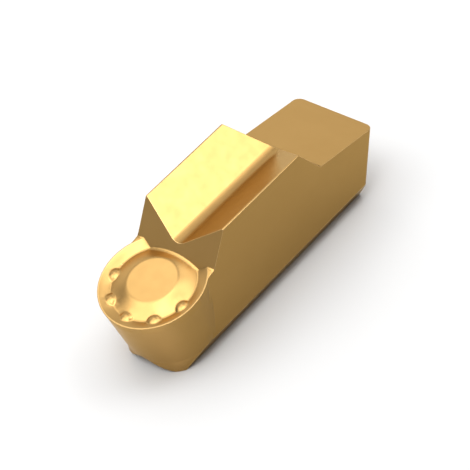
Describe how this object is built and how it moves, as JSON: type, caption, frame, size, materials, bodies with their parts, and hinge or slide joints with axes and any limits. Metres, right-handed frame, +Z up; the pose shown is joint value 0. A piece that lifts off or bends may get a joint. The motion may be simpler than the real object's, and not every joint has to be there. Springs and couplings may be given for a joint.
{
  "type": "turning insert",
  "caption": "Single-ended round-nosed grooving and profiling insert with a pressed chip former, V-grooves above and below for its clamp and seat, and a lower tail block.",
  "frame": {"origin": "on the seat plane and the plane of symmetry, midway between the nose tip and the end of the tail", "axes": "+Z up from the seat to the clamping edges, +Y from the nose towards the tail, +X across the insert"},
  "size_m": [0.008, 0.0248, 0.0092],
  "materials": {
    "coating": "satin gold coating"
  },
  "bodies": {
    "root": {"insert": "coating"}
  },
  "joints": []
}
